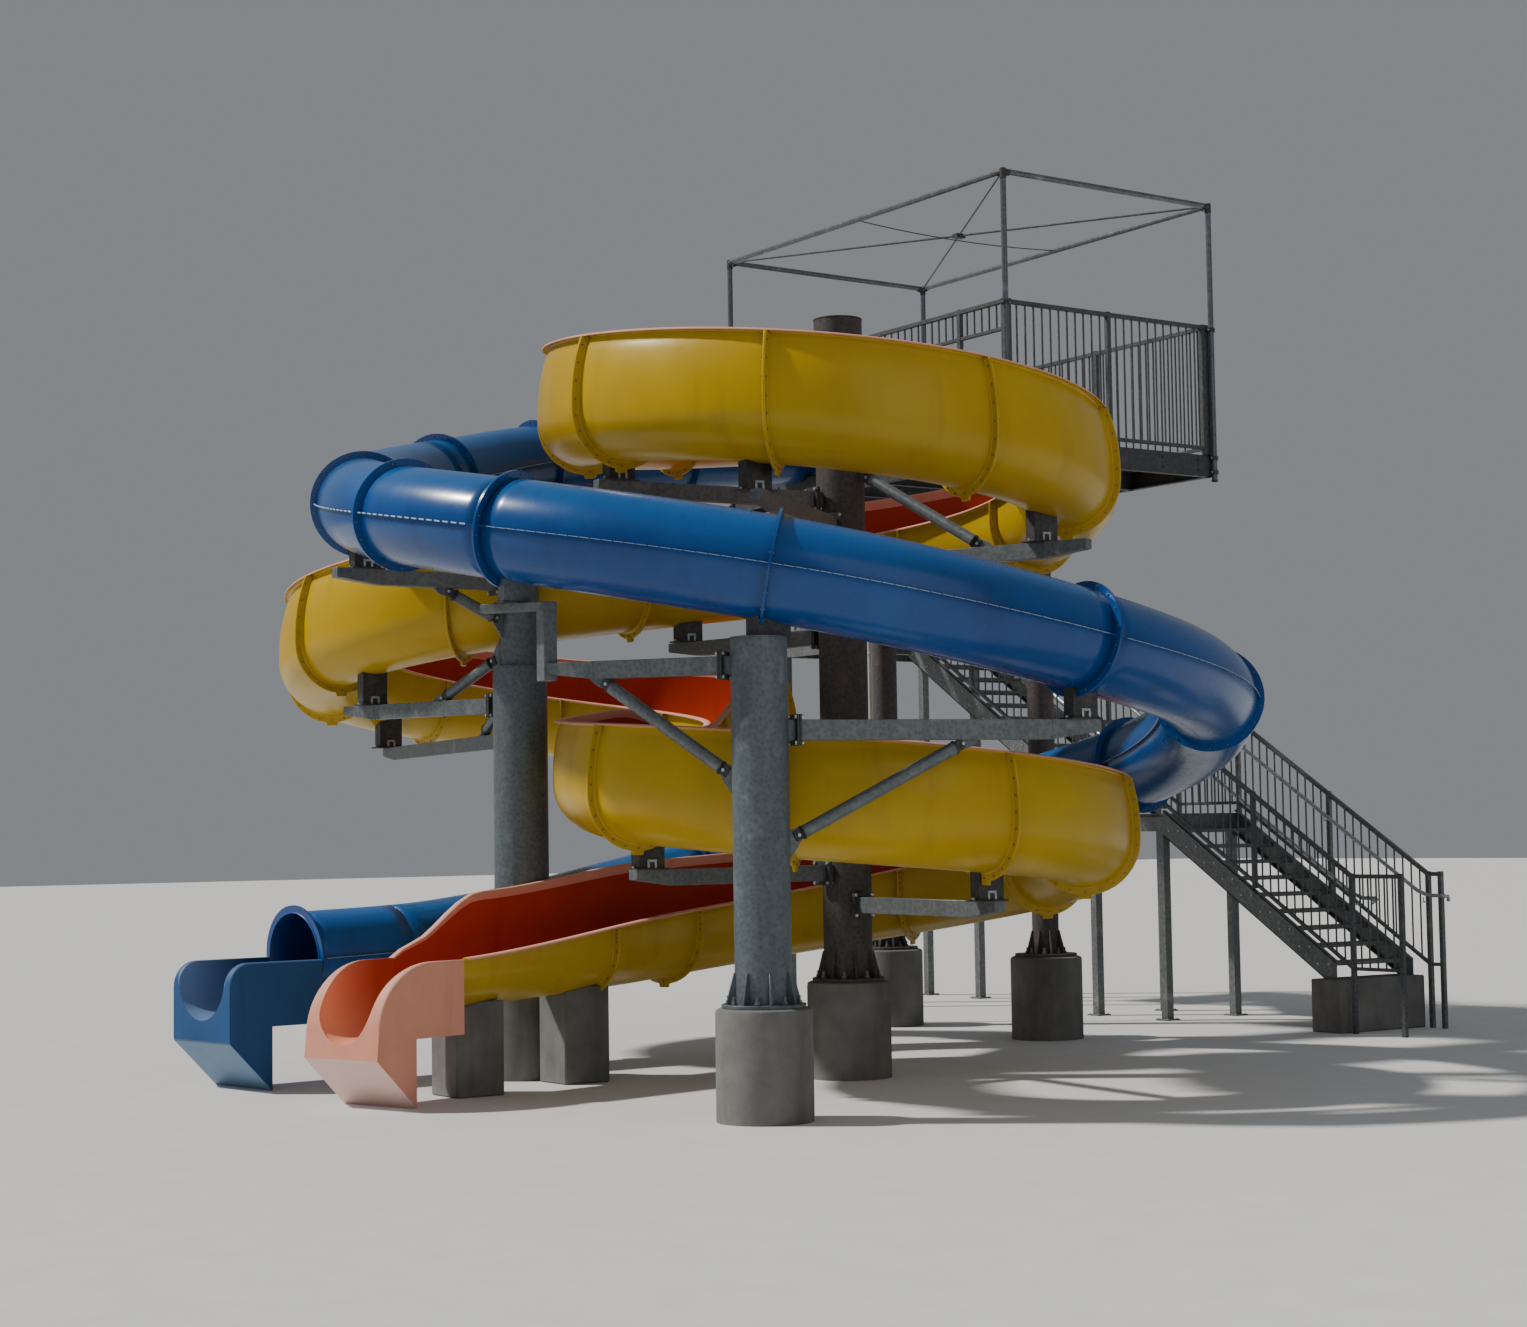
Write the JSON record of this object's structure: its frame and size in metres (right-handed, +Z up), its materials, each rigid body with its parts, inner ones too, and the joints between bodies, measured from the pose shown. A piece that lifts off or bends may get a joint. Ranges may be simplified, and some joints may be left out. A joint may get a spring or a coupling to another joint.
{
  "type": "water slide tower",
  "caption": "Outdoor slide tower: a half-open flume and a closed tube wind round steel columns from a railed platform reached by an open-riser stair.",
  "frame": {"origin": "on the axis of the centre column, at the level of the lowest edges of the exit mouldings and the undersides of the piers", "axes": "+Z up, +X from the centre column towards the platform and stair, +Y to the side where the tube starts; both exits face -X"},
  "size_m": [12.9755, 12.6181, 8.81],
  "materials": {
    "yellow_gelcoat": "semi-gloss moulded shell, orange-red inside",
    "salmon_gelcoat": "chalky, sun-faded",
    "blue_gelcoat": "gloss moulded shell",
    "pale_blue_gelcoat": "chalky, sun-faded",
    "galvanised_steel": "mottled hot-dip zinc",
    "dark_steel": "dull dark grey",
    "bright_tube": "bright zinc tube",
    "concrete": "cast concrete, weathered",
    "white_plastic": "weathered water pipe"
  },
  "bodies": {
    "root": {"flume_start": "yellow_gelcoat", "flume_turn_1": "yellow_gelcoat", "flume_turn_2": "yellow_gelcoat", "flume_turn_3": "yellow_gelcoat", "flume_turn_4": "yellow_gelcoat", "flume_turn_5": "yellow_gelcoat", "flume_turn_6": "yellow_gelcoat", "flume_turn_7": "yellow_gelcoat", "flume_turn_8": "yellow_gelcoat", "flume_exit_run": "yellow_gelcoat", "flume_exit_box": "salmon_gelcoat", "tube_start": "blue_gelcoat", "tube_turn_1": "blue_gelcoat", "tube_turn_2": "blue_gelcoat", "tube_turn_3": "blue_gelcoat", "tube_turn_4": "blue_gelcoat", "tube_exit_run": "blue_gelcoat", "tube_exit_box": "pale_blue_gelcoat", "front_column": "galvanised_steel", "front_pier": "concrete", "centre_column": "galvanised_steel", "centre_pier": "concrete", "left_column": "galvanised_steel", "left_pier": "concrete", "platform_south_column": "galvanised_steel", "platform_south_pier": "concrete", "platform_north_column": "galvanised_steel", "platform_north_pier": "concrete", "run_block_1": "concrete", "run_block_2": "concrete", "stair_footing": "concrete", "platform_frame": "dark_steel", "platform_deck": "dark_steel", "south_railing": "dark_steel", "north_railing": "dark_steel", "east_railing": "dark_steel", "west_railing": "dark_steel", "near_stair_railing": "dark_steel", "far_stair_railing": "dark_steel", "north_landing_railing": "dark_steel", "upper_near_railing": "dark_steel", "upper_far_railing": "dark_steel", "top_landing_railing": "dark_steel", "canopy_frame": "bright_tube", "water_riser": "white_plastic", "lower_flight": "galvanised_steel", "middle_flight": "galvanised_steel", "upper_flight": "galvanised_steel", "lower_landing": "galvanised_steel", "north_landing": "galvanised_steel", "top_landing": "galvanised_steel"}
  },
  "joints": []
}
